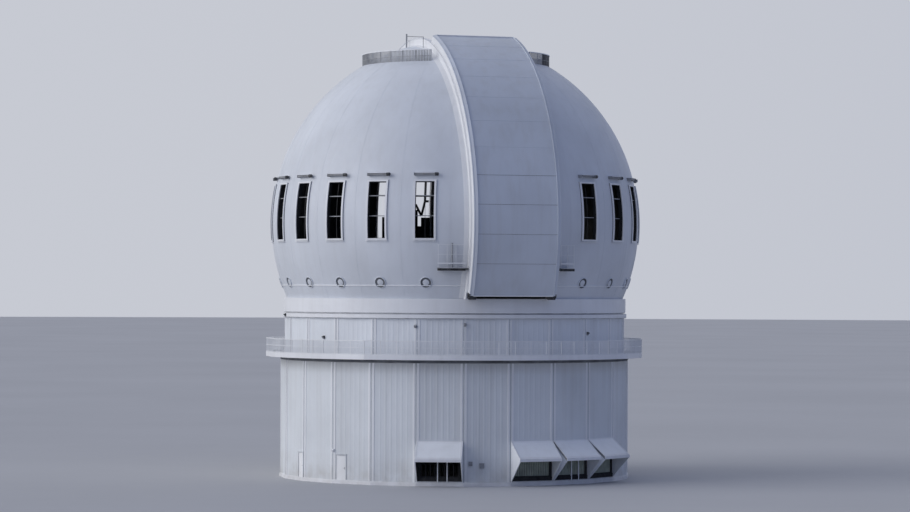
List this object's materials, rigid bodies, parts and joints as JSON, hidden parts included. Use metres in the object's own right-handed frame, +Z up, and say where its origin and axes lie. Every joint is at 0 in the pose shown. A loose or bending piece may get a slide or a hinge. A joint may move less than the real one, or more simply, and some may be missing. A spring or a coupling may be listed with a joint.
{
  "type": "observatory dome",
  "caption": "Round clad observatory building with a walkway, and a turning dome with side vents and an up-and-over shutter.",
  "frame": {"origin": "centre of the base, at ground level", "axes": "+Z up, the shutter faces -Y, +X to the right of one who looks at the shutter"},
  "size_m": [32.9, 33.396, 38.1462],
  "materials": {
    "cladding": "matt white paint on ribbed sheet",
    "trim": "white paint",
    "concrete": "floated concrete",
    "dome_paint": "matt white paint",
    "grating": "weathered grating",
    "shutter_paint": "matt white paint",
    "door_paint": "white paint"
  },
  "bodies": {
    "building": {"ground_floor": "concrete", "base_curb": "trim", "wall_between_doors": "cladding", "wall_left": "cladding", "wall_front_left": "cladding", "wall_front_right": "cladding", "wall_right": "cladding", "wall_rear_right": "cladding", "wall_rear_left": "cladding", "wall_over_door_a": "cladding", "wall_over_door_b": "cladding", "intake_hood_1": "trim", "intake_hood_2": "trim", "intake_hood_3": "trim", "intake_hood_4": "trim", "walkway_front": "trim", "walkway_right": "trim", "walkway_rear": "trim", "walkway_left": "trim", "upper_wall_front": "cladding", "upper_wall_right": "cladding", "upper_wall_rear": "cladding", "upper_wall_left": "cladding", "track_ring": "trim"},
    "dome": {"dome_ring_left": "dome_paint", "dome_ring_right": "dome_paint", "dome_panel_left_front": "dome_paint", "dome_panel_left_front_side": "dome_paint", "dome_panel_left_side": "dome_paint", "dome_panel_left_rear_side": "dome_paint", "dome_panel_left_rear": "dome_paint", "dome_panel_right_front": "dome_paint", "dome_panel_right_front_side": "dome_paint", "dome_panel_right_side": "dome_paint", "dome_panel_right_rear_side": "dome_paint", "dome_panel_right_rear": "dome_paint", "platform_left": "grating", "platform_right": "grating", "crown_guard_left": "dome_paint", "crown_guard_right": "dome_paint", "arch_girder_left": "dome_paint", "arch_girder_right": "dome_paint", "dome_back_strip": "dome_paint"},
    "shutter": {"shutter": "shutter_paint"},
    "door_a": {"door_a": "door_paint"},
    "door_b": {"door_b": "door_paint"}
  },
  "joints": [
    {"name": "dome_turn", "type": "hinge", "parent": "building", "child": "dome", "pos_m": [0, 0, 15], "axis": [0, 0, 1], "continuous": true},
    {"name": "shutter_travel", "type": "hinge", "parent": "dome", "child": "shutter", "pos_m": [0, 0, 21.95], "axis": [-1, 0, 0], "range_deg": [0, 92]},
    {"name": "door_a_hinge", "type": "hinge", "parent": "building", "child": "door_a", "pos_m": [-12.9324, -7.8852, 1.2], "axis": [0, 0, -1], "range_deg": [0, 100]},
    {"name": "door_b_hinge", "type": "hinge", "parent": "building", "child": "door_b", "pos_m": [-14.8174, -2.8313, 1.2], "axis": [0, 0, -1], "range_deg": [0, 100]}
  ]
}
